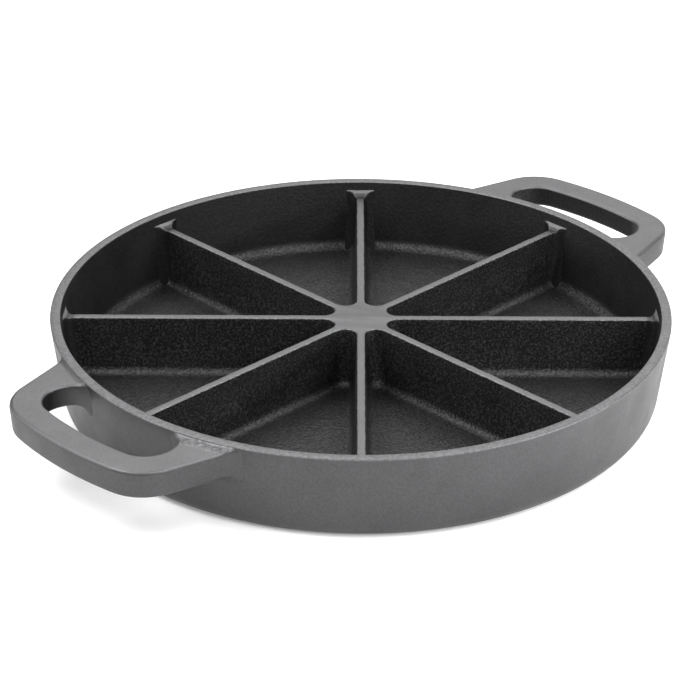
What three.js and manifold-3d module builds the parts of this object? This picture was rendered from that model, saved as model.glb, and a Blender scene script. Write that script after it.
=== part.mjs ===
// Cast iron wedge pan: a round floor and wall, eight dividers that meet at a hub, and two loop handles.
// Millimetres, +Z up. The origin is on the ground below the centre, and +X runs out through one handle.

import * as THREE from 'three';
import { mergeVertices } from 'three/addons/utils/BufferGeometryUtils.js';
import Module from 'manifold-3d';

const wasm = await Module();
wasm.setup();

// Floor and side wall
const RIM_RADIUS = 127;
const PAN_HEIGHT = 36.6;
const BASE_RADIUS = 122.7; // where the slope of the wall's outside would reach the ground
const BASE_ROUND = 5.4; // radius of the lower outer corner
const FLOOR_THICKNESS = 5.2;
const RIM_WIDTH = 4.2;
const WALL_FOOT_WIDTH = 4.4; // thickness of the wall where it stands on the floor

// Dividers and hub
const DIVIDER_COUNT = 8;
const DIVIDER_DROP = 6.3; // from the rim down to the tops of the dividers
const DIVIDER_TOP_WIDTH = 3.2;
const DIVIDER_FOOT_WIDTH = 5.4;
const CORNER_FILLET = 4.3; // radius where a divider flares into the wall
const HUB_FILLET = 4.8; // radius between two neighbouring dividers
const HUB_ARM = 3; // straight length of a hub arm beyond its fillets

// Handles
const HANDLE_REACH = 32.7; // from the rim to the outer edge of the bar
const HANDLE_BAR_WIDTH = 12.3;
const HANDLE_THICKNESS = 11.6;
const HANDLE_DROP = 1.3; // from the rim down to the top of the handle
const HANDLE_ROOT_WIDTH = 100.2; // across the handle where it meets the rim's circle
const HANDLE_TAPER = THREE.MathUtils.degToRad(14); // how far each side leans in towards the bar
const HANDLE_CORNER = 20; // radius of the two outer corners
const HANDLE_EDGE = 2; // rounding of the top and bottom edges
const HANDLE_BURY = 5; // how far the uncut handle runs in behind the wall's outside
const FINGER_GAP_LENGTH = 65.6;
const FINGER_GAP_END = 11.3; // radius of the round ends of the finger gap

// Fit and smoothness
const SEAM = 0.3; // gap where one region of the casting ends at its neighbour
const ROUND_STEPS = 96; // facets around the pan
const ARC_STEPS = 4; // half the facets of a fillet
const EDGE_STEPS = 2; // facets of a rounded handle edge
const SAME_POINT = 1e-5;

// Derived places
const DIVIDER_PITCH = (2 * Math.PI) / DIVIDER_COUNT;
const DIVIDER_TOP = PAN_HEIGHT - DIVIDER_DROP;
const HANDLE_TOP = PAN_HEIGHT - HANDLE_DROP;
const HANDLE_BOTTOM = HANDLE_TOP - HANDLE_THICKNESS;
const OUTSIDE_SLOPE = (RIM_RADIUS - BASE_RADIUS) / PAN_HEIGHT;
const RIM_INNER_RADIUS = RIM_RADIUS - RIM_WIDTH;
const FLOOR_INNER_RADIUS = outsideRadius(FLOOR_THICKNESS) - WALL_FOOT_WIDTH;

function outsideRadius(z) {
  return BASE_RADIUS + OUTSIDE_SLOPE * z;
}

function insideRadius(z) {
  const share = (z - FLOOR_THICKNESS) / (PAN_HEIGHT - FLOOR_THICKNESS);
  return THREE.MathUtils.lerp(FLOOR_INNER_RADIUS, RIM_INNER_RADIUS, share);
}

function dividerHalfWidth(z) {
  const share = (z - FLOOR_THICKNESS) / (DIVIDER_TOP - FLOOR_THICKNESS);
  return THREE.MathUtils.lerp(DIVIDER_FOOT_WIDTH, DIVIDER_TOP_WIDTH, share) / 2;
}

// Point at a distance and angle from the pan's centre
function polar(radius, angle) {
  return new THREE.Vector2(radius * Math.cos(angle), radius * Math.sin(angle));
}

// Solid of revolution about Z from a profile of (radius, height) points
function turned(profile) {
  return new THREE.LatheGeometry(profile, ROUND_STEPS).rotateX(Math.PI / 2);
}

// Points of a closed outline, where two curves share one point at their join
function outlinePoints(path) {
  const points = path.getPoints(ARC_STEPS);
  return points.filter((point, i) => point.distanceTo(points.at(i - 1)) > SAME_POINT);
}

// Solid between two outlines with equally many points, one at the bottom and one at the top
function drafted(bottom, top, zBottom, zTop) {
  const count = bottom.length;
  const positions = [];
  bottom.forEach((point) => positions.push(point.x, point.y, zBottom));
  top.forEach((point) => positions.push(point.x, point.y, zTop));
  const index = [];
  for (let i = 0; i < count; i += 1) {
    const next = (i + 1) % count;
    index.push(i, next, count + next);
    index.push(i, count + next, count + i);
  }
  THREE.ShapeUtils.triangulateShape(bottom, []).forEach(([a, b, c]) => index.push(c, b, a));
  THREE.ShapeUtils.triangulateShape(top, []).forEach(([a, b, c]) => index.push(count + a, count + b, count + c));
  const geometry = new THREE.BufferGeometry();
  geometry.setAttribute('position', new THREE.Float32BufferAttribute(positions, 3));
  geometry.setIndex(index);
  geometry.computeVertexNormals();
  return geometry;
}

function toSolid(geometry) {
  const bare = geometry.clone();
  bare.deleteAttribute('normal');
  bare.deleteAttribute('uv');
  const merged = mergeVertices(bare);
  const vertProperties = new Float32Array(merged.attributes.position.array);
  const triVerts = new Uint32Array(merged.index.array);
  return new wasm.Manifold(new wasm.Mesh({ numProp: 3, vertProperties, triVerts }));
}

function toGeometry(solid) {
  const mesh = solid.getMesh();
  const geometry = new THREE.BufferGeometry();
  geometry.setAttribute('position', new THREE.BufferAttribute(mesh.vertProperties, 3));
  geometry.setIndex(new THREE.BufferAttribute(mesh.triVerts, 1));
  geometry.computeVertexNormals();
  return geometry;
}

// Round floor plate whose lower outer corner is an arc tangent to the ground and to the wall's outside
function floorGeometry() {
  const cornerAngle = Math.PI / 2 + Math.atan(OUTSIDE_SLOPE);
  const round = Math.min(BASE_ROUND, FLOOR_THICKNESS * Math.tan(cornerAngle / 2));
  const centre = new THREE.Vector2(BASE_RADIUS - round / Math.tan(cornerAngle / 2), round);
  const profile = new THREE.Path();
  profile.moveTo(0, 0);
  profile.lineTo(centre.x, 0);
  profile.absarc(centre.x, centre.y, round, -Math.PI / 2, Math.PI / 2 - cornerAngle);
  profile.lineTo(outsideRadius(FLOOR_THICKNESS), FLOOR_THICKNESS);
  profile.lineTo(0, FLOOR_THICKNESS);
  return turned(profile.getPoints(EDGE_STEPS));
}

// Ring with a sloping outside, a drafted inside and a flat rim
function wallGeometry() {
  const foot = new THREE.Vector2(FLOOR_INNER_RADIUS, FLOOR_THICKNESS);
  return turned([
    foot,
    new THREE.Vector2(outsideRadius(FLOOR_THICKNESS), FLOOR_THICKNESS),
    new THREE.Vector2(RIM_RADIUS, PAN_HEIGHT),
    new THREE.Vector2(RIM_INNER_RADIUS, PAN_HEIGHT),
    foot,
  ]);
}

// Distance from the centre along a divider to where the hub's fillets end, at a height
function hubFilletEnd(z) {
  return (dividerHalfWidth(z) + HUB_FILLET) / Math.tan(DIVIDER_PITCH / 2);
}

const HUB_REACH = hubFilletEnd(FLOOR_THICKNESS) + HUB_ARM;

// Star of short arms, with a concave arc between each two arms
function hubOutline(z) {
  const half = dividerHalfWidth(z);
  const notchRadius = (half + HUB_FILLET) / Math.sin(DIVIDER_PITCH / 2);
  const star = new THREE.Shape();
  for (let k = 0; k < DIVIDER_COUNT; k += 1) {
    const angle = k * DIVIDER_PITCH;
    const right = new THREE.Vector2(HUB_REACH, -half).rotateAround(new THREE.Vector2(), angle);
    const left = new THREE.Vector2(HUB_REACH, half).rotateAround(new THREE.Vector2(), angle);
    if (k === 0) {
      star.moveTo(right.x, right.y);
    } else {
      star.lineTo(right.x, right.y);
    }
    star.lineTo(left.x, left.y);
    const notch = polar(notchRadius, angle + DIVIDER_PITCH / 2);
    const arcEnd = angle + DIVIDER_PITCH + Math.PI / 2;
    star.absarc(notch.x, notch.y, HUB_FILLET, angle - Math.PI / 2, arcEnd, true);
  }
  star.closePath();
  return outlinePoints(star);
}

// Straight bar along +X from the hub, whose sides flare round two corner fillets to end along the wall
function dividerOutline(z) {
  const half = dividerHalfWidth(z);
  const wall = insideRadius(z);
  const end = wall - SEAM;
  const centreRadius = wall - CORNER_FILLET;
  const centreY = half + CORNER_FILLET;
  const centreX = Math.sqrt(centreRadius ** 2 - centreY ** 2);
  const facing = Math.atan2(centreY, centreX);
  const cosine = (end ** 2 - centreRadius ** 2 - CORNER_FILLET ** 2) / (2 * centreRadius * CORNER_FILLET);
  const arcEnd = facing - Math.acos(cosine);
  const tipX = centreX + CORNER_FILLET * Math.cos(arcEnd);
  const tipY = centreY + CORNER_FILLET * Math.sin(arcEnd);
  const tipAngle = Math.atan2(tipY, tipX);
  const bar = new THREE.Shape();
  bar.moveTo(HUB_REACH + SEAM, half);
  bar.lineTo(HUB_REACH + SEAM, -half);
  bar.absarc(centreX, -centreY, CORNER_FILLET, Math.PI / 2, -arcEnd, true);
  bar.absarc(0, 0, end, -tipAngle, tipAngle);
  bar.absarc(centreX, centreY, CORNER_FILLET, arcEnd, -Math.PI / 2, true);
  bar.closePath();
  return outlinePoints(bar);
}

// Plan of a handle along +X: tapering sides, two round corners and a bar concentric with the pan
function handleShape() {
  const outer = RIM_RADIUS + HANDLE_REACH;
  const rootY = HANDLE_ROOT_WIDTH / 2;
  const rootX = Math.sqrt(RIM_RADIUS ** 2 - rootY ** 2);
  const inward = new THREE.Vector2(-Math.sin(HANDLE_TAPER), -Math.cos(HANDLE_TAPER));
  const along = new THREE.Vector2(Math.cos(HANDLE_TAPER), -Math.sin(HANDLE_TAPER));
  const offset = new THREE.Vector2(rootX, rootY).addScaledVector(inward, HANDLE_CORNER);
  const cornerReach = outer - HANDLE_CORNER;
  const ahead = offset.dot(along);
  const travel = Math.sqrt(ahead ** 2 + cornerReach ** 2 - offset.lengthSq()) - ahead;
  const corner = offset.clone().addScaledVector(along, travel);
  const facing = corner.angle();
  const sideFacing = Math.PI / 2 - HANDLE_TAPER;
  const rimOverhang = Math.max(0, RIM_RADIUS - outsideRadius(HANDLE_BOTTOM));
  const runIn = 2 * rimOverhang + HANDLE_BURY;
  const blankX = rootX - runIn;
  const blankY = rootY + runIn * Math.tan(HANDLE_TAPER);
  const outline = new THREE.Path();
  outline.moveTo(blankX, blankY);
  outline.lineTo(blankX, -blankY);
  outline.absarc(corner.x, -corner.y, HANDLE_CORNER, -sideFacing, -facing);
  outline.absarc(0, 0, outer, -facing, facing);
  outline.absarc(corner.x, corner.y, HANDLE_CORNER, facing, sideFacing);
  const shape = new THREE.Shape(outlinePoints(outline));
  shape.holes.push(new THREE.Path(outlinePoints(fingerGap(outer - HANDLE_BAR_WIDTH))));
  return shape;
}

// Slot concentric with the pan, with round ends, whose outer edge is the bar's inner edge
function fingerGap(barInner) {
  const middle = barInner - FINGER_GAP_END;
  const spread = Math.asin((FINGER_GAP_LENGTH / 2 - FINGER_GAP_END) / middle);
  const near = polar(middle, -spread);
  const far = polar(middle, spread);
  const slot = new THREE.Path();
  slot.absarc(0, 0, barInner, -spread, spread);
  slot.absarc(far.x, far.y, FINGER_GAP_END, spread, spread + Math.PI);
  slot.absarc(0, 0, middle - FINGER_GAP_END, spread, -spread, true);
  slot.absarc(near.x, near.y, FINGER_GAP_END, Math.PI - spread, 2 * Math.PI - spread);
  return slot;
}

// Handle with rounded edges, cut off at the wall's outside
function handleGeometry() {
  const edge = Math.min(HANDLE_EDGE, HANDLE_THICKNESS / 2);
  const blank = new THREE.ExtrudeGeometry(handleShape(), {
    depth: HANDLE_THICKNESS - 2 * edge,
    bevelThickness: edge,
    bevelSize: edge,
    bevelOffset: -edge,
    bevelSegments: EDGE_STEPS,
  });
  blank.translate(0, 0, HANDLE_BOTTOM + edge);
  const wallOutside = turned([
    new THREE.Vector2(0, 0),
    new THREE.Vector2(BASE_RADIUS + SEAM, 0),
    new THREE.Vector2(RIM_RADIUS + SEAM, PAN_HEIGHT),
    new THREE.Vector2(0, PAN_HEIGHT),
  ]);
  return toGeometry(toSolid(blank).subtract(toSolid(wallOutside)));
}

function castIron(color) {
  return new THREE.MeshStandardMaterial({ color, roughness: 0.6, metalness: 0.5 });
}

const pan = new THREE.Group();

function addPiece(name, geometry, color, turn = 0) {
  const mesh = new THREE.Mesh(geometry, castIron(color));
  mesh.name = name;
  mesh.rotation.z = turn;
  pan.add(mesh);
}

addPiece('pan_floor', floorGeometry(), 0x3a3a3b);
addPiece('side_wall', wallGeometry(), 0x4a4a4b);

const hub = drafted(hubOutline(FLOOR_THICKNESS), hubOutline(DIVIDER_TOP), FLOOR_THICKNESS, DIVIDER_TOP);
addPiece('centre_hub', hub, 0x5a5a5b);

const divider = drafted(
  dividerOutline(FLOOR_THICKNESS),
  dividerOutline(DIVIDER_TOP),
  FLOOR_THICKNESS,
  DIVIDER_TOP,
);
for (let k = 0; k < DIVIDER_COUNT; k += 1) {
  addPiece(`divider_${k + 1}`, divider, 0x545455, k * DIVIDER_PITCH);
}

const handle = handleGeometry();
addPiece('handle_right', handle, 0x4e4e4f);
addPiece('handle_left', handle, 0x4e4e4f, Math.PI);

export default pan;
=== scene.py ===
"""Cast iron wedge pan: a round floor and wall, eight dividers that meet at a hub, and two loop handles."""

import math

import bmesh
import bpy
from bpy.props import FloatProperty, FloatVectorProperty, PointerProperty
from mathutils import Matrix, Vector, noise


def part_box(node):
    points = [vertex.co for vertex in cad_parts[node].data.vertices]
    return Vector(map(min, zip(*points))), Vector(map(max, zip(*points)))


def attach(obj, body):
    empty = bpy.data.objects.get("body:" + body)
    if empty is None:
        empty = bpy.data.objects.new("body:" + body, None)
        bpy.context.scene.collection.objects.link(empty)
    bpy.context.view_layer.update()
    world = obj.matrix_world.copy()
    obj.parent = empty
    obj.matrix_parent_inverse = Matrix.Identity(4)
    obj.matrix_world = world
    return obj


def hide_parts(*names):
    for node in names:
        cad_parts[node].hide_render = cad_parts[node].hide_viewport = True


bl_info = {
    "name": "Wedge Pan",
    "version": (1, 0, 0),
    "blender": (4, 5, 0),
    "location": "3D View > Sidebar > Wedge Pan",
    "description": "Models a cast iron wedge pan, its finish and a plain studio",
    "category": "Mesh",
}

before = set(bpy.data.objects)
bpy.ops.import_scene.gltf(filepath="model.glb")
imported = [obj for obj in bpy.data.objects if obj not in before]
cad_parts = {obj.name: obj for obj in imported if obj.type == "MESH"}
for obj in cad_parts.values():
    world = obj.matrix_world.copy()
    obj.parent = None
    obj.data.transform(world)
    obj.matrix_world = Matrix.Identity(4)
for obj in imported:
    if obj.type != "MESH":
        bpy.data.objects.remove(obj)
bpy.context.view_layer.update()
FLOOR_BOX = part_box("pan_floor")
WALL_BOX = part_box("side_wall")
HUB_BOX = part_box("centre_hub")
HANDLE_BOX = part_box("handle_right")

MM = 0.001
DIVIDER_COUNT = 8
PITCH = 2 * math.pi / DIVIDER_COUNT
FAR_SIDE = math.radians(45)  # away from the camera

# Fineness of the meshes
ROUND_STEPS = 240  # facets around the pan
FILLET_STEPS = 8
EDGE_STEPS = 3
BAR_STEPS = 130  # stations along a divider
LOOP_TOP_STEPS = 28  # facets across the top of a handle
LOOP_UNDER_STEPS = 8  # facets across its underside
LEDGE_STEPS = 5  # levels over which a divider's end widens
SEAT = 0.01 * MM  # hairline between a divider and the floor or wall that it stands against
MERGE = 0.001 * MM  # points nearer than this are one
SMOOTH_ANGLE = math.radians(35)
SORT_AXIS = Vector((0.83, 0.41, 0.37))  # skewed, so that no two points are level along it

# Irregular forms of a sand casting
TOP_BAND = 1 * MM  # depth below the dividers' tops that is wavy
TOP_WAVE = 2 * MM  # length of those waves
TOP_WAVE_DEPTH = 0.16 * MM
TOP_WAVE_LIFT = 0.3  # share of that depth that goes up and down
TOP_WAVE_SEED = 9  # without a seed the vector noise follows the clock
GATE_LUMP = 1.3 * MM  # size of a lump on the rough step

# Patterns of the finish
OIL_PATCH = 14 * MM  # size of the faint patches of oil on the iron
OIL_SHEEN = 0.06  # by how much they change the roughness
METAL_SHARE = 0.9  # the rest reflects as a film of burnt oil does
GAP_FADE = 14 * MM  # distance over which a finger gap turns from the wall's tone to its painted shade

# Studio, in metres: lamps have a name, a bearing in degrees and watts
LOW_LAMPS = (("back", 0, 4.4), ("back_right", 35, 6.0), ("left", 270, 8.4))
LOW_DISTANCE = 1.7
LOW_HEIGHT = 0.6
LOW_WIDTH = 1.2
HIGH_LAMPS = (
    ("back", 0, 9.6),
    ("right", 90, 15.2),
    ("front_right", 135, 4.4),
    ("front", 180, 3.0),
    ("front_left", 225, 8.6),
    ("left", 270, 11.8),
    ("back_left", 315, 4.0),
)
HIGH_DISTANCE = 0.95
HIGH_HEIGHT = 1.25
HIGH_WIDTH = 1.0
SKY_LIGHT = 0.03  # what the white background adds to the lamps
BOARD_RADIUS = 4
BOARD_STEPS = 96
GLOW_START = 0.6  # distance from the pan at which the board's glow begins to grow
GLOW_END = 1.6
GLOW_NEAR = 0.22
GLOW_FAR = 1.0
CAMERA_SENSOR = 36  # width in millimetres, as the focal length is
CAMERA_LENS = 124.95
CAMERA_ELEVATION = math.radians(27.85)
CAMERA_ROLL = math.radians(0.263)
CAMERA_AIM = Vector((-3.09, 3.09, 14.96)) * MM
CAMERA_DISTANCE = 1007.9 * MM


def linear(hex_colour):
    """Scene linear colour of an sRGB hex value."""
    shares = [int(hex_colour[i:i + 2], 16) / 255 for i in (1, 3, 5)]
    return [s / 12.92 if s <= 0.04045 else ((s + 0.055) / 1.055) ** 2.4 for s in shares]


def length(name, description, default):
    """Property that holds a length in metres."""
    return FloatProperty(
        name=name, description=description, default=default, min=0.0, unit="LENGTH", precision=5
    )


def angle(name, description, degrees):
    """Property that holds an angle, given in degrees."""
    return FloatProperty(name=name, description=description, default=math.radians(degrees), subtype="ANGLE")


def colour(name, description, hex_colour):
    """Property that holds a colour."""
    return FloatVectorProperty(
        name=name,
        description=description,
        default=linear(hex_colour),
        size=3,
        min=0.0,
        max=1.0,
        subtype="COLOR",
    )


class WedgePanSizes(bpy.types.PropertyGroup):
    """Sizes of the casting, in metres."""

    rim_radius: length("Rim radius", "Outside radius of the rim", WALL_BOX[1].y)
    pan_height: length("Height", "From the ground to the rim", WALL_BOX[1].z)
    floor_top: length("Floor thickness", "From the ground to the inside floor", FLOOR_BOX[1].z)
    floor_radius: length("Floor radius", "Outside radius at the height of the inside floor", FLOOR_BOX[1].y)
    floor_plate: length("Floor plate radius", "Where the floor ends and the wall's foot begins", 112 * MM)
    base_round: length("Base rounding", "Radius of the lower outer corner", 6.4 * MM)
    rim_width: length("Rim width", "Width of the flat rim", 4.2 * MM)
    wall_foot: length("Wall foot", "Thickness of the wall at the inside floor", 3.8 * MM)
    rim_edge: length("Rim edge", "Rounding of the rim's two edges", 0.4 * MM)
    wall_cove: length("Wall cove", "Radius where the pocket floor meets the wall", 4.6 * MM)
    cove: length("Divider cove", "Radius where the pocket floor meets a divider", 3.3 * MM)
    divider_top: length("Divider height", "From the ground to the tops of the dividers", HUB_BOX[1].z)
    divider_foot_width: length("Divider foot", "Width of a divider at the floor", 5.4 * MM)
    divider_top_width: length("Divider top", "Width of a divider at its top", 3.2 * MM)
    divider_edge: length("Divider edge", "Rounding of the dividers' top edges", 0.4 * MM)
    corner_fillet: length("Corner fillet", "Radius where a divider flares into the wall", 4.3 * MM)
    hub_fillet: length("Hub fillet", "Radius between two neighbouring dividers", 4.8 * MM)
    hub_reach: length("Hub reach", "From the centre to where the dividers begin", HUB_BOX[1].x)
    ledge_rise: length("Ledge rise", "How far the dividers' ends stand up at least", 1.5 * MM)
    ledge_tilt: length("Ledge tilt", "How much further they stand up at the far side", 1.1 * MM)
    ledge_depth: length("Ledge depth", "Depth of the raised end's blunt tips, from the wall", 0.4 * MM)
    ledge_width: length("Ledge width", "Length of the raised end, along the wall", 12.4 * MM)
    ledge_flare: length("Ledge flare", "Length over which a divider widens to its raised end", 3.6 * MM)
    ledge_drop: length("Ledge drop", "How far below the top that widening begins", 7 * MM)
    ledge_strip: length("Ledge strip", "Depth of the sloping strip at the wall", 1.3 * MM)
    ledge_step: length("Ledge step", "Depth of the steep step up to that strip", 0.5 * MM)


class WedgePanHandle(bpy.types.PropertyGroup):
    """Sizes of a loop handle, in metres."""

    reach: length("Reach", "From the centre to the outer edge of the bar", HANDLE_BOX[1].x)
    top: length("Top", "From the ground to the top of the handle", HANDLE_BOX[1].z)
    bottom: length("Bottom", "From the ground to the underside of the handle", HANDLE_BOX[0].z)
    bar_width: length("Bar width", "Width of the bar", 12.3 * MM)
    root_width: length("Root width", "Across the handle at the rim's circle", 100.2 * MM)
    corner: length("Corner", "Radius of the two outer corners", 20 * MM)
    gap_length: length("Finger gap", "Length of the finger gap", 65.6 * MM)
    gap_end: length("Finger gap end", "Radius of the finger gap's round ends", 11.3 * MM)
    edge: length("Top edge", "Rounding of the upper long edges", 1.6 * MM)
    under_edge: length("Lower edge", "Rounding of the lower outer edge", 1.3 * MM)
    gap_edge: length("Finger gap edge", "Rounding of the finger gap's lower edge", 1.9 * MM)
    gap_lift: length("Finger gap lift", "How much higher the underside is at the finger gap", 1.5 * MM)
    root_fillet: length("Root fillet", "Radius where a handle runs into the wall", 4.2 * MM)
    root_ramp: length("Root ramp", "Length of the slope from the handle's top up to the rim", 1.8 * MM)
    gate_width: length("Gate width", "Width of the left handle's rough step, where metal ran in", 3.2 * MM)
    gate_ramp: length("Gate ramp", "Length of the slope below that step", 1.6 * MM)
    gate_rough: length("Gate roughness", "Height of the lumps on that step", 0.9 * MM)
    taper: angle("Taper", "How far each side leans in towards the bar", 14)
    draft: angle("Draft", "How far the sides lean in towards the underside", 4)


class WedgePanFinish(bpy.types.PropertyGroup):
    """Colours of the seasoned iron and of the studio floor."""

    skin: colour("Skin", "Tops and handles", "#676768")
    skin_dark: colour("Skin, dark", "Darker grains of the tops and handles", "#606061")
    # Lighter spots on the rim and rough step: partly rubbed seasoning, partly a painted highlight
    worn: colour("Worn", "Rim and rough step where the seasoning is rubbed thin", "#6f6f70")
    worn_dark: colour("Worn, dark", "Rim and rough step where it is whole", "#5b5b5c")
    # Bright spots on the dividers' rounded top edges: a painted highlight
    chip: colour("Chips", "Bright spots on the top edges of the dividers", "#8e8e8f")
    wall: colour("Wall", "Outside of the wall", "#515152")
    wall_dark: colour("Wall, dark", "Darker grains of the wall", "#4a4a4b")
    # Pocket floors, darker than the tops: painted shade
    pocket: colour("Pockets", "Floors", "#484849")
    pocket_dark: colour("Pockets, dark", "Darker grains of the floors", "#303031")
    # Sides of the dividers: dark as painted shade, with bright grains as painted glints
    face: colour("Dividers", "Bright grains on the sides of the dividers", "#626263")
    face_dark: colour("Dividers, dark", "Sides of the dividers between those grains", "#2f2f30")
    # Inside of the wall and of the finger gaps, darker: painted shade
    lining: colour("Lining", "Inside of the wall and of the finger gaps", "#383839")
    lining_dark: colour("Lining, dark", "Darker grains of that inside", "#303031")
    floor: colour("Studio floor", "Pale floor that the pan stands on", "#f2f2f2")


def sizes():
    """Sizes of the casting."""
    return bpy.context.scene.wedge_pan_sizes


def handle_sizes():
    """Sizes of a handle."""
    return bpy.context.scene.wedge_pan_handle


def colours():
    """Colours of the iron and of the studio floor."""
    return bpy.context.scene.wedge_pan_finish


def outside_radius(z):
    """Radius of the wall's outside at a height."""
    s = sizes()
    share = (z - s.floor_top) / (s.pan_height - s.floor_top)
    return s.floor_radius + share * (s.rim_radius - s.floor_radius)


def inside_radius(z):
    """Radius of the wall's inside at a height."""
    s = sizes()
    share = (z - s.floor_top) / (s.pan_height - s.floor_top)
    foot = s.floor_radius - s.wall_foot
    return foot + share * (s.rim_radius - s.rim_width - foot)


# Shared steps of modelling


def polar(radius, direction):
    """Point on the ground at a distance from the middle and a direction from +X."""
    return Vector((radius * math.cos(direction), radius * math.sin(direction), 0))


def arc(centre, radius, start, end, steps):
    """Points along an arc, without its first one."""
    return [centre + polar(radius, start + (end - start) * i / steps) for i in range(1, steps + 1)]


def line(start, end, steps):
    """Points along a line, without its first one."""
    return [start.lerp(end, i / steps) for i in range(1, steps + 1)]


def points_loop(bm, points):
    """Closed face through a few points."""
    return bm.faces.new([bm.verts.new(point) for point in points])


def round_corner(bm, vert, radius, segments):
    """Rounds one corner of a flat outline by an arc that touches both its edges."""
    legs = [edge.other_vert(vert).co - vert.co for edge in vert.link_edges]
    reach = radius / math.tan(legs[0].angle(legs[1]) / 2)
    bmesh.ops.bevel(
        bm, geom=[vert], offset=reach, segments=segments, profile=0.5, affect="VERTICES", material=-1
    )


def spin_outline(bm):
    """Turns a flat outline in the XZ plane into a ring around Z."""
    bmesh.ops.delete(bm, geom=bm.faces[:], context="FACES_ONLY")
    bmesh.ops.spin(
        bm, geom=bm.edges[:] + bm.verts[:], axis=(0, 0, 1), cent=(0, 0, 0), angle=2 * math.pi,
        steps=ROUND_STEPS, use_merge=True,
    )
    bmesh.ops.remove_doubles(bm, verts=bm.verts[:], dist=MERGE)
    bmesh.ops.recalc_face_normals(bm, faces=bm.faces[:])
    # Spin leaves the faces in another order at each run
    bm.verts.sort(key=lambda vert: vert.co.dot(SORT_AXIS))
    bm.faces.sort(key=lambda face: face.calc_center_median().dot(SORT_AXIS))


def add_piece(bm, name, node, materials):
    """Makes a finished bmesh into a piece that stands for one CAD node."""
    mesh = bpy.data.meshes.new(name)
    bm.to_mesh(mesh)
    bm.free()
    mesh.shade_smooth()
    mesh.set_sharp_from_angle(angle=SMOOTH_ANGLE)
    for material in materials:
        mesh.materials.append(material)
    piece = bpy.data.objects.new(name, mesh)
    bpy.context.scene.collection.objects.link(piece)
    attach(piece, "root")
    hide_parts(node)
    return piece


# Materials


def add_node(tree, kind, inputs, **settings):
    """Adds a node, with its settings, its plain input values and its links."""
    node = tree.nodes.new(kind)
    for name, value in settings.items():
        setattr(node, name, value)
    for name, value in inputs.items():
        if isinstance(value, bpy.types.NodeSocket):
            tree.links.new(value, node.inputs[name])
        else:
            node.inputs[name].default_value = value
    return node


def away_from_wall(tree, place):
    """Socket that goes from 0 at the rim's circle to 1 at the end of the finger gaps' fade."""
    radius = sizes().rim_radius
    flat = add_node(
        tree, "ShaderNodeVectorMath", {0: place, 1: (1, 1, 0)}, operation="MULTIPLY"
    ).outputs["Vector"]
    distance = add_node(
        tree, "ShaderNodeVectorMath", {"Vector": flat}, operation="LENGTH"
    ).outputs["Value"]
    return add_node(
        tree, "ShaderNodeMapRange",
        {"Value": distance, "From Min": radius, "From Max": radius + GAP_FADE},
    ).outputs["Result"]


def cast_iron(
    name, light, dark, roughness, grain, grain_depth, bright_from=0.35, bright_to=0.65, at_wall=None
):
    """Seasoned sand-cast iron: a matt grey-black skin with the print of sand and faint patches of oil.

    Real grains of sand are about 0.3 mm, and are drawn coarser here so that they show.
    """
    material = bpy.data.materials.get(name)
    if material:
        return material
    material = bpy.data.materials.new(name)
    material.use_nodes = True
    tree = material.node_tree
    tree.nodes.clear()
    place = add_node(tree, "ShaderNodeTexCoord", {}).outputs["Object"]
    patches = add_node(
        tree, "ShaderNodeTexNoise", {"Vector": place, "Scale": 1 / OIL_PATCH, "Detail": 3, "Roughness": 0.55}
    ).outputs["Fac"]
    grains = add_node(
        tree, "ShaderNodeTexNoise", {"Vector": place, "Scale": 1 / grain, "Detail": 2, "Roughness": 0.6}
    ).outputs["Fac"]
    speckle = add_node(
        tree, "ShaderNodeMapRange", {"Value": grains, "From Min": bright_from, "From Max": bright_to}
    ).outputs["Result"]
    tone = add_node(
        tree, "ShaderNodeMix", {"Factor": speckle, "A": (*dark, 1), "B": (*light, 1)}, data_type="RGBA"
    ).outputs["Result"]
    # A finger gap's painted shade fades to the wall's tone as it nears the wall
    if at_wall:
        tone = add_node(
            tree, "ShaderNodeMix",
            {"Factor": away_from_wall(tree, place), "A": (*at_wall, 1), "B": tone},
            data_type="RGBA",
        ).outputs["Result"]
    sheen = add_node(
        tree, "ShaderNodeMapRange",
        {
            "Value": patches,
            "From Min": 0.3,
            "From Max": 0.7,
            "To Min": roughness - OIL_SHEEN,
            "To Max": roughness + OIL_SHEEN,
        },
    ).outputs["Result"]
    relief = add_node(
        tree, "ShaderNodeBump", {"Height": grains, "Strength": 1.0, "Distance": grain_depth}
    ).outputs["Normal"]
    shader = add_node(
        tree, "ShaderNodeBsdfPrincipled",
        {"Base Color": tone, "Roughness": sheen, "Metallic": METAL_SHARE, "Normal": relief},
    ).outputs["BSDF"]
    add_node(tree, "ShaderNodeOutputMaterial", {"Surface": shader})
    return material


def skin_iron():
    """Tops of dividers and handles, and the pan's underside: smooth, with a fine grain."""
    c = colours()
    return cast_iron(
        "seasoned_cast_iron_skin", c.skin, c.skin_dark, roughness=0.46, grain=0.9 * MM, grain_depth=0.05 * MM
    )


def worn_iron():
    """Rim and rough step: lighter in spots, partly rubbed seasoning and partly a painted highlight."""
    c = colours()
    return cast_iron(
        "seasoned_cast_iron_worn_highlight", c.worn, c.worn_dark, roughness=0.45, grain=1.4 * MM, grain_depth=0.05 * MM
    )


def chipped_iron():
    """Top edges of the dividers: sparse bright spots, a painted highlight."""
    c = colours()
    return cast_iron(
        "seasoned_cast_iron_edge_highlight", c.chip, c.skin_dark,
        roughness=0.45, grain=1.2 * MM, grain_depth=0.1 * MM,
        bright_from=0.45, bright_to=0.7,
    )


def wall_iron():
    """Outside of the wall and sides of the handles: left as cast, so a little darker than what is rubbed; on
    the slopes of the dividers' raised ends, painted shade.
    """
    c = colours()
    return cast_iron(
        "seasoned_cast_iron_wall", c.wall, c.wall_dark, roughness=0.5, grain=1.0 * MM, grain_depth=0.07 * MM
    )


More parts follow.
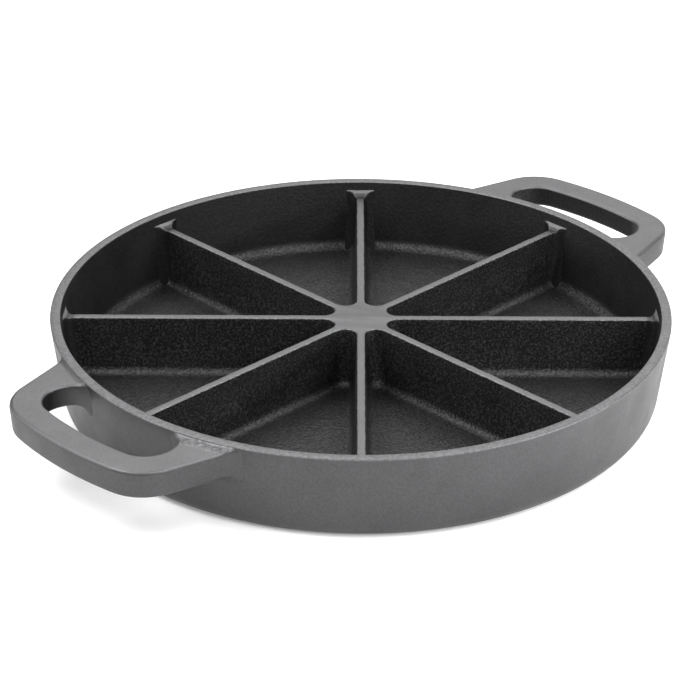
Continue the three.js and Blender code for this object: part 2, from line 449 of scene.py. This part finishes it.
def pocket_iron():
    """Pocket floors and the coves round them: left as cast, with an even, pebbled grain, and darker than the
    tops as painted shade.
    """
    c = colours()
    return cast_iron(
        "seasoned_cast_iron_shaded_pocket", c.pocket, c.pocket_dark,
        roughness=0.52, grain=1.1 * MM, grain_depth=0.5 * MM
    )


def divider_iron():
    """Sides of the dividers: left as cast, dark as painted shade, with sparse bright grains as painted
    glints.
    """
    c = colours()
    return cast_iron(
        "seasoned_cast_iron_shaded_glinting_divider", c.face, c.face_dark,
        roughness=0.55, grain=0.9 * MM, grain_depth=0.3 * MM,
        bright_from=0.45, bright_to=0.75,
    )


def lining_iron():
    """Inside of the wall and the dividers' ends at it: dark and even, as painted shade."""
    c = colours()
    return cast_iron(
        "seasoned_cast_iron_shaded_lining", c.lining, c.lining_dark,
        roughness=0.55, grain=1.2 * MM, grain_depth=0.2 * MM
    )


def gap_iron():
    """Finger gaps: painted shade, as dark as the lining at the bar, that turns to the wall's tone where they
    reach it.
    """
    c = colours()
    return cast_iron(
        "seasoned_cast_iron_shaded_gap", c.lining, c.lining_dark,
        roughness=0.55, grain=1.2 * MM, grain_depth=0.2 * MM,
        at_wall=c.wall,
    )


def paint(bm, iron_of):
    """Gives each face the iron that iron_of picks for it. Returns the irons in the order of their slots.

    A face's normal.z, by which they are picked, is 1 where the face is level and 0 where it is upright.
    """
    picks = [iron_of(face) for face in bm.faces]
    irons = sorted(set(picks), key=lambda iron: iron.__name__)
    for face, iron in zip(bm.faces, picks):
        face.material_index = irons.index(iron)
    return [iron() for iron in irons]


# Forms of the dividers and the hub


def section_levels():
    """Heights of a divider's side from its foot to its top, each with how far the side stands out there."""
    s = sizes()
    levels = []
    for i in range(FILLET_STEPS + 1):
        turn = math.pi / 2 * i / FILLET_STEPS
        levels.append((s.floor_top + s.cove * (1 - math.cos(turn)), s.cove * (1 - math.sin(turn))))
    for i in range(LEDGE_STEPS):
        levels.append((s.divider_top - s.ledge_drop * (1 - i / LEDGE_STEPS), 0))
    for i in range(EDGE_STEPS + 1):
        turn = math.pi / 2 * i / EDGE_STEPS
        below_top = s.divider_edge * (1 - math.sin(turn))
        levels.append((s.divider_top - below_top, s.divider_edge * (math.cos(turn) - 1)))
    return levels


def half_width(z):
    """Half the width of a divider at a height, without its cove and its rounded edges."""
    s = sizes()
    share = (z - s.floor_top) / (s.divider_top - s.floor_top)
    return (s.divider_foot_width + share * (s.divider_top_width - s.divider_foot_width)) / 2


def placed_grid(bm, columns, rows, place):
    """Grid whose point in column i and row j goes to place(i, j)."""
    bmesh.ops.create_grid(bm, x_segments=columns, y_segments=rows, size=0.5)
    for vert in bm.verts:
        vert.co = place(round((vert.co.x + 0.5) * columns), round((vert.co.y + 0.5) * rows))
    bmesh.ops.remove_doubles(bm, verts=bm.verts[:], dist=MERGE)
    bmesh.ops.holes_fill(bm, edges=bm.edges[:])
    bmesh.ops.recalc_face_normals(bm, faces=bm.faces[:])
    if bm.calc_volume(signed=True) < 0:
        bmesh.ops.reverse_faces(bm, faces=bm.faces[:])
    bm.normal_update()


def roughen_tops(bm):
    """Gives the top edges the slight waviness of a sand casting."""
    s = sizes()
    noise.seed_set(TOP_WAVE_SEED)
    for vert in bm.verts:
        if vert.co.z > s.divider_top - TOP_BAND:
            wave = noise.noise_vector(vert.co / TOP_WAVE) * TOP_WAVE_DEPTH
            vert.co += Vector((wave.x, wave.y, TOP_WAVE_LIFT * wave.z))


def divider_iron_of(face):
    """Iron of a face of a divider or the hub: top; top edges with bright spots as a painted highlight; the
    raised end's slopes darker as painted shade; and coves, sides and ends at the wall darker as painted
    shade, the sides with bright grains as painted glints.
    """
    s = sizes()
    centre = face.calc_center_median()
    from_wall = inside_radius(centre.z) - centre.xy.length
    on_bar = from_wall > s.ledge_depth + s.ledge_flare
    on_top = centre.z > s.divider_top - s.divider_edge
    if on_top and face.normal.z > (0.8 if on_bar else 0.2):
        # The raised end's flare and step take the wall's darker iron as painted shade; its strip at the wall
        # keeps the top's iron
        return skin_iron if on_bar or from_wall < s.ledge_strip else wall_iron
    # Rounded top edges along the bar: sparse bright spots, a painted highlight
    if on_top and face.normal.z > 0.2:
        return chipped_iron
    # Coves, sides and ends at the wall take darker irons as painted shade; the sides' bright grains are
    # painted glints
    if face.normal.z > 0.4 and centre.xy.length > s.hub_reach:
        return pocket_iron
    return divider_iron if on_bar else lining_iron


# Pieces and stage


class WEDGEPAN_OT_floor(bpy.types.Operator):
    """Flat round floor plate inside the foot of the wall"""

    bl_idname = "wedgepan.floor"
    bl_label = "Floor"

    def execute(self, context):
        s = sizes()
        bm = bmesh.new()
        middle = (0, 0, 0)
        edge = (s.floor_plate, 0, 0)
        upper_edge = (s.floor_plate, 0, s.floor_top)
        upper_middle = (0, 0, s.floor_top)
        points_loop(bm, [middle, edge, upper_edge, upper_middle])
        spin_outline(bm)
        # The floor's top takes the pockets' darker iron as painted shade
        irons = paint(bm, lambda face: pocket_iron if face.normal.z > 0.5 else skin_iron)
        add_piece(bm, "cast_floor", "pan_floor", irons)
        return {"FINISHED"}


class WEDGEPAN_OT_wall(bpy.types.Operator):
    """Drafted round wall with a flat rim, a coved foot inside and a rounded foot outside"""

    bl_idname = "wedgepan.wall"
    bl_label = "Side wall"

    def execute(self, context):
        s = sizes()
        bm = bmesh.new()
        ground = (s.floor_plate, 0, 0)
        base = (outside_radius(0), 0, 0)
        rim_outer = (s.rim_radius, 0, s.pan_height)
        rim_inner = (s.rim_radius - s.rim_width, 0, s.pan_height)
        foot = (inside_radius(s.floor_top), 0, s.floor_top)
        plate = (s.floor_plate, 0, s.floor_top)
        face = points_loop(bm, [ground, base, rim_outer, rim_inner, foot, plate])
        corners = list(face.verts)
        round_corner(bm, corners[1], s.base_round, FILLET_STEPS)
        round_corner(bm, corners[2], s.rim_edge, EDGE_STEPS)
        round_corner(bm, corners[3], s.rim_edge, EDGE_STEPS)
        bmesh.ops.bevel(
            bm, geom=[corners[4]], offset=s.wall_cove, segments=FILLET_STEPS, profile=0.5, affect="VERTICES",
            material=-1,
        )
        spin_outline(bm)
        bm.normal_update()
        add_piece(bm, "cast_side_wall", "side_wall", paint(bm, self.iron_of))
        return {"FINISHED"}

    def iron_of(self, face):
        """Iron of a face: the rim, lighter in spots as partly rubbed seasoning and partly a painted
        highlight; the outside; and the floor with the lower part of its cove and the rest of the inside, both
        darker as painted shade.
        """
        s = sizes()
        centre = face.calc_center_median()
        if centre.z > s.pan_height - s.rim_edge:
            return worn_iron
        if face.normal.xy.dot(centre.xy) > 0 or face.normal.z < 0:
            return wall_iron
        return pocket_iron if face.normal.z > 0.45 else lining_iron


class WEDGEPAN_OT_hub(bpy.types.Operator):
    """Star where the dividers meet"""

    bl_idname = "wedgepan.hub"
    bl_label = "Hub"

    def execute(self, context):
        bm = bmesh.new()
        levels = section_levels()
        outlines = [self.star(half_width(z) + out, sizes().hub_fillet - out) for z, out in levels]
        count = len(outlines[0])
        placed_grid(
            bm, count, len(levels) - 1,
            lambda i, j: outlines[j][i % count] + Vector((0, 0, levels[j][0] + SEAT)),
        )
        roughen_tops(bm)
        add_piece(bm, "cast_hub", "centre_hub", paint(bm, divider_iron_of))
        return {"FINISHED"}

    def star(self, half, fillet):
        """Outline of the hub for a half width of its arms and a radius of the arcs between them."""
        s = sizes()
        arm_steps = 4
        notch_distance = (half + fillet) / math.sin(PITCH / 2)
        arc_start = (half + fillet) / math.tan(PITCH / 2)
        outline = []
        for k in range(DIVIDER_COUNT):
            along = k * PITCH
            turn = Matrix.Rotation(along, 3, "Z")
            end = turn @ Vector((s.hub_reach, half, 0))
            outline.append(turn @ Vector((s.hub_reach, 0, 0)))
            outline.append(end)
            outline += line(end, turn @ Vector((arc_start, half, 0)), arm_steps)
            notch = polar(notch_distance, along + PITCH / 2)
            arc_end = along + PITCH - 1.5 * math.pi
            outline += arc(notch, fillet, along - math.pi / 2, arc_end, 2 * FILLET_STEPS)
            next_end = Matrix.Rotation(along + PITCH, 3, "Z") @ Vector((s.hub_reach, -half, 0))
            outline += line(outline[-1], next_end, arm_steps)
        return outline


class WEDGEPAN_OT_dividers(bpy.types.Operator):
    """Eight drafted walls from the hub to the side wall, flared and raised where they meet it"""

    bl_idname = "wedgepan.dividers"
    bl_label = "Dividers"

    def execute(self, context):
        s = sizes()
        for k in range(DIVIDER_COUNT):
            towards_far_side = max(0.0, math.cos(k * PITCH - FAR_SIDE))
            rise = s.ledge_rise + s.ledge_tilt * math.sqrt(towards_far_side)
            sides = [self.side(z, out, rise) for z, out in section_levels()]
            sections = [self.section([side[i] for side in sides]) for i in range(len(sides[0]))]
            bm = bmesh.new()
            placed_grid(bm, len(sections) - 1, len(sections[0]) - 1, lambda i, j: sections[i][j])
            bmesh.ops.rotate(bm, verts=bm.verts[:], cent=(0, 0, 0), matrix=Matrix.Rotation(k * PITCH, 3, "Z"))
            roughen_tops(bm)
            add_piece(bm, f"cast_divider_{k + 1}", f"divider_{k + 1}", paint(bm, divider_iron_of))
        return {"FINISHED"}

    def side(self, z, out, rise):
        """Left side of the divider along +X at one height, which widens to the ledge near the top."""
        s = sizes()
        share = min(max(1 - (s.divider_top - s.divider_edge - z) / s.ledge_drop, 0), 1)
        return [p.lerp(q, share ** 2) for p, q in zip(self.plain_side(z, out), self.ledge_side(z, out, rise))]

    def plain_side(self, z, out):
        """Side that runs into the wall along an arc."""
        s = sizes()
        half = half_width(z) + out
        fillet = s.corner_fillet - out
        centre = Vector((0, half + fillet, 0))
        centre.x = math.sqrt((inside_radius(z) - s.corner_fillet) ** 2 - centre.y ** 2)
        stop = math.atan2(centre.y, centre.x) - math.sqrt(2 * SEAT / fillet)
        points = [Vector((s.hub_reach, half, 0))]
        points += line(points[0], Vector((centre.x, half, 0)), BAR_STEPS)
        points += arc(centre, fillet, -math.pi / 2, stop, FILLET_STEPS)
        return [point + Vector((0, 0, z + SEAT)) for point in points]

    def ledge_side(self, z, out, rise):
        """Side that widens along a quarter ellipse and steps up to a sloping strip at the wall."""
        s = sizes()
        half = half_width(z) + out
        ledge_end = s.ledge_width / 2 + out
        ledge_front = inside_radius(z + rise) - s.ledge_depth - out
        flare_start = ledge_front - s.ledge_flare
        wall = math.sqrt(inside_radius(z + rise) ** 2 - ledge_end ** 2) - SEAT
        points = [Vector((s.hub_reach, half, 0))]
        points += line(points[0], Vector((flare_start, half, 0)), BAR_STEPS)
        for turn in arc(Vector(), 1, -math.pi / 2, 0, FILLET_STEPS - 1):
            x = flare_start + s.ledge_flare * turn.x
            y = ledge_end + (ledge_end - half) * turn.y
            points.append(Vector((x, y, 0)))
        points.append(Vector((wall, ledge_end, 0)))
        for point in points:
            from_wall = max(0, wall - point.x)
            strip = min(from_wall / s.ledge_strip, 1)
            step = min(max((from_wall - s.ledge_strip) / s.ledge_step, 0), 1)
            point.z = z + SEAT + rise * (1 - 0.5 * strip - 0.5 * step)
        return points

    def section(self, left):
        """Closed cross-section whose left side is given from foot to top."""
        right = [Vector((p.x, -p.y, p.z)) for p in reversed(left)]
        foot = Vector((left[0].x, 0, left[0].z))
        crest = Vector((left[-1].x, 0, left[-1].z))
        return [foot, *left, crest, *right, foot]


class WEDGEPAN_OT_handles(bpy.types.Operator):
    """Two loop handles, each a bar around a finger gap that runs into the wall at both ends"""

    bl_idname = "wedgepan.handles"
    bl_label = "Handles"

    def execute(self, context):
        for side, turn in (("right", 0), ("left", math.pi)):
            gated = side == "left"
            bm = bmesh.new()
            self.loop(bm)
            self.run_into_wall(bm, gated)
            irons = paint(bm, lambda face: self.iron_of(face, gated))
            bmesh.ops.rotate(bm, verts=bm.verts[:], cent=(0, 0, 0), matrix=Matrix.Rotation(turn, 3, "Z"))
            add_piece(bm, f"cast_handle_{side}", f"handle_{side}", irons)
        return {"FINISHED"}

    def edges_in_plan(self):
        """Outer and inner edge of half a handle along +X, from the middle of the bar into the wall."""
        h = handle_sizes()
        s = sizes()
        bar_steps = 14
        corner_steps = 12
        side_steps = 4
        root_steps = 20
        root_crowding = 1.6  # packs the stations closer at the wall
        bar_inner = h.reach - h.bar_width
        gap_middle = bar_inner - h.gap_end
        spread = math.asin((h.gap_length / 2 - h.gap_end) / gap_middle)
        gap_centre = polar(gap_middle, spread)
        facing = math.pi / 2 - h.taper
        root = Vector((math.sqrt(s.rim_radius ** 2 - (h.root_width / 2) ** 2), h.root_width / 2, 0))
        side_distance = root.dot(polar(1, facing))
        corner_distance = h.reach - h.corner
        corner_angle = facing - math.acos((side_distance - h.corner) / corner_distance)
        corner_centre = polar(corner_distance, corner_angle)
        root_start = gap_middle + 1 * MM  # from here on the stations lie on circles round the pan's middle
        root_end = s.rim_radius - s.rim_width / 2

        def side_at(radius):
            return polar(radius, facing - math.acos(side_distance / radius))

        def gap_at(radius):
            cosine = (radius ** 2 + gap_middle ** 2 - h.gap_end ** 2) / (2 * radius * gap_middle)
            return polar(radius, spread + math.acos(cosine))

        middle = Vector()
        outer = [polar(h.reach, 0)]
        outer += arc(middle, h.reach, 0, corner_angle, bar_steps)
        outer += arc(corner_centre, h.corner, corner_angle, facing, corner_steps)
        outer += line(outer[-1], side_at(root_start), side_steps)
        inner = [polar(bar_inner, 0)]
        inner += arc(middle, bar_inner, 0, spread, bar_steps)
        gap_end_point = gap_at(root_start) - gap_centre
        gap_turn = math.atan2(gap_end_point.y, gap_end_point.x)
        inner += arc(gap_centre, h.gap_end, spread, gap_turn, corner_steps + side_steps)
        for i in range(1, root_steps + 1):
            share = 1 - (1 - i / root_steps) ** root_crowding
            radius = root_start + (root_end - root_start) * share
            outer.append(side_at(radius))
            inner.append(gap_at(max(radius, gap_middle - h.gap_end)))
        return outer, inner

    def side_profile(self, bottom, under_edge):
        """Inset and height down a side, from the top face round both edges to the underside."""
        h = handle_sizes()
        levels = []
        for i in range(EDGE_STEPS + 2):
            turn = math.pi / 2 * i / (EDGE_STEPS + 1)
            levels.append((h.edge * (1 - math.sin(turn)), h.top - h.edge * (1 - math.cos(turn))))
        for i in range(FILLET_STEPS + 1):
            turn = math.pi / 2 * i / FILLET_STEPS
            levels.append((under_edge * (1 - math.cos(turn)), bottom + under_edge * (1 - math.sin(turn))))
        return [(inset + (h.top - z) * math.tan(h.draft), z) for inset, z in levels]

    def inset_edge(self, edge, other, inset):
        """Edge in plan, moved by an inset towards the other edge."""
        moved = []
        for i, point in enumerate(edge):
            along = edge[min(i + 1, len(edge) - 1)] - edge[max(i - 1, 0)]
            across = Vector((-along.y, along.x, 0)).normalized()
            moved.append(point + across * math.copysign(inset, across.dot(other[i] - point)))
        return moved

    def loop(self, bm):
        """Whole handle along +X, as a closed section swept round the finger gap."""
        outer, inner = [
            [Vector((p.x, -p.y, 0)) for p in reversed(half[1:])] + half for half in self.edges_in_plan()
        ]
        h = handle_sizes()
        outer_profile = self.side_profile(h.bottom, h.under_edge)
        inner_profile = self.side_profile(h.bottom + h.gap_lift, h.gap_edge)
        outside = [(self.inset_edge(outer, inner, inset), z) for inset, z in outer_profile]
        inside = [(self.inset_edge(inner, outer, inset), z) for inset, z in inner_profile]

        def section(i):
            down = [edge[i] + Vector((0, 0, z)) for edge, z in outside]
            up = [edge[i] + Vector((0, 0, z)) for edge, z in reversed(inside)]
            under = line(down[-1], up[0], LOOP_UNDER_STEPS)
            top = line(up[-1], down[0], LOOP_TOP_STEPS)
            return down + under + up[1:] + top

        sections = [section(i) for i in range(len(outer))]
        placed_grid(bm, len(sections) - 1, len(sections[0]) - 1, lambda i, j: sections[i][j])

    def run_into_wall(self, bm, gated):
        """Pushes the surface out near the wall, to meet the wall along an arc and climb to the rim."""
        h = handle_sizes()
        s = sizes()
        moves = []
        for vert in bm.verts:
            upward = max(0.0, vert.normal.z)
            gap = max(0.0, vert.co.xy.length - outside_radius(vert.co.z))
            push = Vector((0, 0, self.climb(vert.co, gated) * upward))
            if gap < h.root_fillet:
                outward = Vector((vert.co.x, vert.co.y, 0)).normalized()
                sideways = vert.normal - outward * vert.normal.dot(outward)
                bulge = h.root_fillet - math.sqrt(h.root_fillet ** 2 - (h.root_fillet - gap) ** 2)
                push += sideways * bulge * (1 - upward)
            moves.append((vert, push))
        for vert, push in moves:
            vert.co += push
            vert.co.z = min(vert.co.z, s.pan_height - SEAT)
            inside_wall = outside_radius(vert.co.z) - s.rim_width / 2
            vert.co.xy *= max(1.0, inside_wall / vert.co.xy.length)
        bm.normal_update()

    def climb(self, place, gated):
        """How far a point of the top is raised on its way up to the rim."""
        h = handle_sizes()
        s = sizes()
        rise = s.pan_height - SEAT - place.z
        gap = max(0.0, place.xy.length - s.rim_radius + s.rim_edge)
        slope = max(0.0, 1 - gap / h.root_ramp) ** 2
        gate_side = min(max((place.y - h.gap_length / 2 + h.gate_ramp) / h.gate_ramp, 0), 1)
        if not gated or gate_side == 0 or gap == 0:
            return rise * slope
        lump = h.gate_rough * noise.noise(place / GATE_LUMP) - h.gate_rough
        step = min(max(1 - (gap - h.gate_width) / h.gate_ramp, 0), 1)
        return max(rise * slope, gate_side * step ** 2 * (rise + lump))

    def iron_of(self, face, gated):
        """Iron of a face: top, rough step lighter in spots as partly rubbed seasoning and partly a painted
        highlight, finger gap darker as painted shade, or side and underside.
        """
        h = handle_sizes()
        centre = face.calc_center_median()
        if face.normal.z > 0.3:
            on_step = gated and centre.z > h.top and centre.y > h.gap_length / 2 - h.gate_ramp
            return worn_iron if on_step else skin_iron
        in_gap = face.normal.x < 0 or face.normal.y * centre.y < 0
        return gap_iron if in_gap and face.normal.z > -0.5 else wall_iron


class WEDGEPAN_OT_stage(bpy.types.Operator):
    """Pale floor, soft light and a camera at the usual three-quarter view"""

    bl_idname = "wedgepan.stage"
    bl_label = "Stage"

    def execute(self, context):
        self.floor(context)
        self.lights(context)
        self.camera(context)
        return {"FINISHED"}

    def floor(self, context):
        """Matt painted board that glows: faintly near the pan, a painted light that lifts the pan's shadow
        and lights its wall, and more brightly further out, so that it runs into the white background.
        """
        bm = bmesh.new()
        bmesh.ops.create_circle(bm, cap_ends=True, segments=BOARD_STEPS, radius=BOARD_RADIUS)
        mesh = bpy.data.meshes.new("studio_floor")
        bm.to_mesh(mesh)
        bm.free()
        material = bpy.data.materials.new("matt_glowing_white_board")
        material.use_nodes = True
        tree = material.node_tree
        shader = tree.nodes["Principled BSDF"]
        shader.inputs["Base Color"].default_value = (*colours().floor, 1)
        shader.inputs["Roughness"].default_value = 0.9
        shader.inputs["Emission Color"].default_value = (1, 1, 1, 1)
        place = add_node(tree, "ShaderNodeTexCoord", {}).outputs["Object"]
        distance = add_node(
            tree, "ShaderNodeVectorMath", {"Vector": place}, operation="LENGTH"
        ).outputs["Value"]
        # Painted light: the board glows faintly near the pan, which lifts its shadow and lights the pan, and
        # more brightly further out
        glow = add_node(
            tree, "ShaderNodeMapRange",
            {
                "Value": distance,
                "From Min": GLOW_START,
                "From Max": GLOW_END,
                "To Min": GLOW_NEAR,
                "To Max": GLOW_FAR,
            },
        )
        tree.links.new(glow.outputs["Result"], shader.inputs["Emission Strength"])
        mesh.materials.append(material)
        board = bpy.data.objects.new("studio_floor", mesh)
        context.scene.collection.objects.link(board)

    def lights(self, context):
        """Light tent: two rings of wide soft lamps, one over the front, and two that wash the floor."""
        world = bpy.data.worlds.new("studio")
        world.use_nodes = True
        sky = world.node_tree.nodes["Background"]
        sky.inputs["Color"].default_value = (1, 1, 1, 1)
        seen = add_node(world.node_tree, "ShaderNodeLightPath", {}).outputs["Is Camera Ray"]
        strength = add_node(
            world.node_tree, "ShaderNodeMapRange", {"Value": seen, "To Min": SKY_LIGHT, "To Max": 1.0}
        )
        world.node_tree.links.new(strength.outputs["Result"], sky.inputs["Strength"])
        context.scene.world = world
        context.scene.view_settings.view_transform = "Standard"
        for name, bearing, power in LOW_LAMPS:
            place = self.place(bearing, LOW_DISTANCE, LOW_HEIGHT)
            self.lamp(context, f"low_{name}_panel", place, Vector(), LOW_WIDTH, power)
        for name, bearing, power in HIGH_LAMPS:
            place = self.place(bearing, HIGH_DISTANCE, HIGH_HEIGHT)
            self.lamp(context, f"high_{name}_panel", place, Vector(), HIGH_WIDTH, power)
        top = self.place(bearing=180, distance=0.7, height=1.4)
        self.lamp(context, "front_top_panel", top, Vector(), width=0.6, power=2.8)
        front = self.place(bearing=148, distance=0.67, height=0.4)
        self.lamp(context, "front_wash", front, Vector((front.x, front.y, 0)), width=0.25, power=2.4)
        right = self.place(bearing=116, distance=0.36, height=0.12)
        self.lamp(context, "right_wash", right, Vector((right.x, right.y, 0)), width=0.2, power=1.2)

    def place(self, bearing, distance, height):
        """Point at a bearing in degrees: 0 is behind the pan and 90 at its right, as the camera sees it."""
        return polar(distance, FAR_SIDE - math.radians(bearing)) + Vector((0, 0, height))

    def lamp(self, context, name, place, aim, width, power):
        """Square area lamp that the camera doesn't see."""
        light = bpy.data.lights.new(name, "AREA")
        light.shape = "SQUARE"
        light.size = width
        light.energy = power
        holder = bpy.data.objects.new(name, light)
        holder.location = place
        holder.rotation_euler = (aim - place).to_track_quat("-Z", "Y").to_euler()
        holder.visible_camera = False
        context.scene.collection.objects.link(holder)

    def camera(self, context):
        """Long lens, looking down at the pan from between its left handle and its front."""
        lens = bpy.data.cameras.new("camera")
        lens.sensor_width = CAMERA_SENSOR
        lens.lens = CAMERA_LENS
        back = polar(math.cos(CAMERA_ELEVATION), FAR_SIDE + math.pi)
        back.z = math.sin(CAMERA_ELEVATION)
        level = Vector((1, -1, 0)).normalized()
        upright = back.cross(level)
        right = level * math.cos(CAMERA_ROLL) + upright * math.sin(CAMERA_ROLL)
        up = back.cross(right)
        turn = Matrix((right, up, back)).transposed().to_4x4()
        holder = bpy.data.objects.new("camera", lens)
        holder.matrix_world = Matrix.Translation(CAMERA_AIM + back * CAMERA_DISTANCE) @ turn
        context.scene.collection.objects.link(holder)
        context.scene.camera = holder


class WEDGEPAN_PT_sidebar(bpy.types.Panel):
    """Lists the steps that build the pan"""

    bl_idname = "WEDGEPAN_PT_sidebar"
    bl_label = "Wedge Pan"
    bl_space_type = "VIEW_3D"
    bl_region_type = "UI"
    bl_category = "Wedge Pan"

    def draw(self, context):
        for step in STEPS:
            self.layout.operator(step.bl_idname)


STEPS = (
    WEDGEPAN_OT_floor,
    WEDGEPAN_OT_wall,
    WEDGEPAN_OT_hub,
    WEDGEPAN_OT_dividers,
    WEDGEPAN_OT_handles,
    WEDGEPAN_OT_stage,
)
CLASSES = (WedgePanSizes, WedgePanHandle, WedgePanFinish, *STEPS, WEDGEPAN_PT_sidebar)


def register():
    """Adds the classes and their settings to Blender."""
    for cls in CLASSES:
        bpy.utils.register_class(cls)
    bpy.types.Scene.wedge_pan_sizes = PointerProperty(type=WedgePanSizes)
    bpy.types.Scene.wedge_pan_handle = PointerProperty(type=WedgePanHandle)
    bpy.types.Scene.wedge_pan_finish = PointerProperty(type=WedgePanFinish)


def unregister():
    """Takes them out again."""
    del bpy.types.Scene.wedge_pan_finish
    del bpy.types.Scene.wedge_pan_handle
    del bpy.types.Scene.wedge_pan_sizes
    for cls in reversed(CLASSES):
        bpy.utils.unregister_class(cls)


def main():
    """Builds the pan and its stage."""
    register()
    bpy.ops.wedgepan.floor()
    bpy.ops.wedgepan.wall()
    bpy.ops.wedgepan.hub()
    bpy.ops.wedgepan.dividers()
    bpy.ops.wedgepan.handles()
    bpy.ops.wedgepan.stage()


if __name__ == "__main__":
    main()
